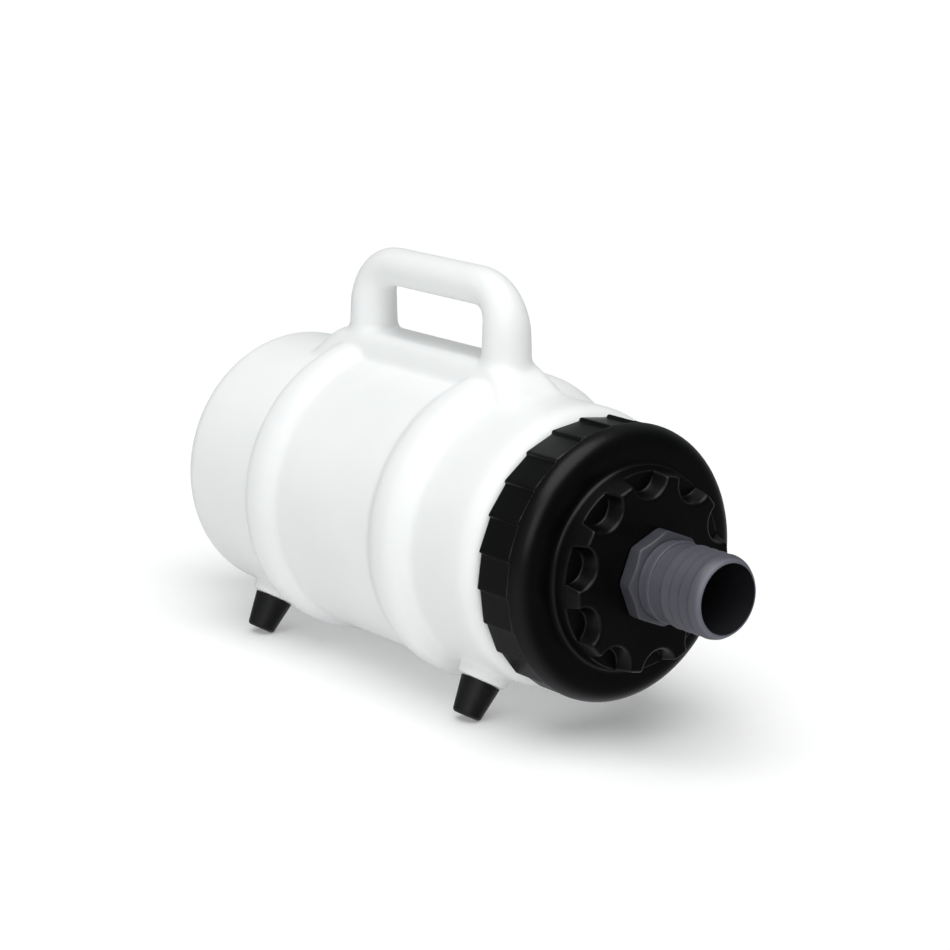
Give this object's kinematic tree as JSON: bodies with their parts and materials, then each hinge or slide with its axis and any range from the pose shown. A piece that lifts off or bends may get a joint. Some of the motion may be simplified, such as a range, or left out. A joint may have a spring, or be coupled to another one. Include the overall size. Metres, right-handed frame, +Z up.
{
  "type": "in-line bilge water filter",
  "caption": "In-line water filter canister with carrying handle, splayed rubber feet, knurled screw cap and a hose tail at each end, with a pleated cartridge that draws out with the cap.",
  "frame": {"origin": "on the ground plane under the middle of the object's box, level with the feet's contact faces", "axes": "+X along the canister's axis toward the screw cap and outlet hose tail, +Y to the left seen from behind, +Z up"},
  "size_m": [0.4132, 0.1584, 0.2143],
  "materials": {
    "white_hdpe": "translucent natural polyethylene, satin",
    "black_plastic": "satin moulded plastic",
    "grey_plastic": "satin moulded plastic",
    "black_rubber": "dull moulded rubber",
    "seal_rubber": "smooth rubber",
    "end_cap_rubber": "smooth cast elastomer",
    "stainless_steel": "plain stainless steel",
    "filter_felt": "bonded polyester felt",
    "white_nylon": "plain moulded plastic"
  },
  "bodies": {
    "canister": {"canister": "white_hdpe", "inlet_hose_tail": "grey_plastic", "inlet_seal_washer": "seal_rubber", "inlet_backnut": "grey_plastic", "inlet_cage": "white_nylon", "foot_back_left": "black_rubber", "foot_back_right": "black_rubber", "foot_front_left": "black_rubber", "foot_front_right": "black_rubber", "foot_washer_back_left": "stainless_steel", "foot_washer_back_right": "stainless_steel", "foot_washer_front_left": "stainless_steel", "foot_washer_front_right": "stainless_steel", "foot_screw_back_left": "stainless_steel", "foot_screw_back_right": "stainless_steel", "foot_screw_front_left": "stainless_steel", "foot_screw_front_right": "stainless_steel"},
    "cap_seal": {"cap_gasket": "seal_rubber"},
    "cap": {"screw_cap": "black_plastic", "outlet_hose_tail": "grey_plastic", "outlet_seal_washer": "seal_rubber", "outlet_backnut": "grey_plastic"},
    "cartridge": {"cartridge_back_end": "end_cap_rubber", "cartridge_front_end": "end_cap_rubber", "cartridge_core": "white_nylon", "cartridge_pleats": "filter_felt", "cartridge_sleeve": "white_nylon", "cartridge_gasket": "seal_rubber"}
  },
  "joints": [
    {"name": "cap_advance", "type": "slide", "parent": "canister", "child": "cap_seal", "axis": [1, 0, 0], "range_m": [0, 0.0151]},
    {"name": "cap_turn", "type": "hinge", "parent": "cap_seal", "child": "cap", "pos_m": [0.12, 0, 0.085], "axis": [1, 0, 0], "range_deg": [0, 900]},
    {"name": "cartridge_draw", "type": "slide", "parent": "canister", "child": "cartridge", "axis": [1, 0, 0], "range_m": [0, 0.0151]}
  ],
  "couplings": [
    {"joint": "cap_advance", "follows": "cap_turn", "m_per_rad": 0.00095493},
    {"joint": "cartridge_draw", "follows": "cap_turn", "m_per_rad": 0.00095493}
  ]
}
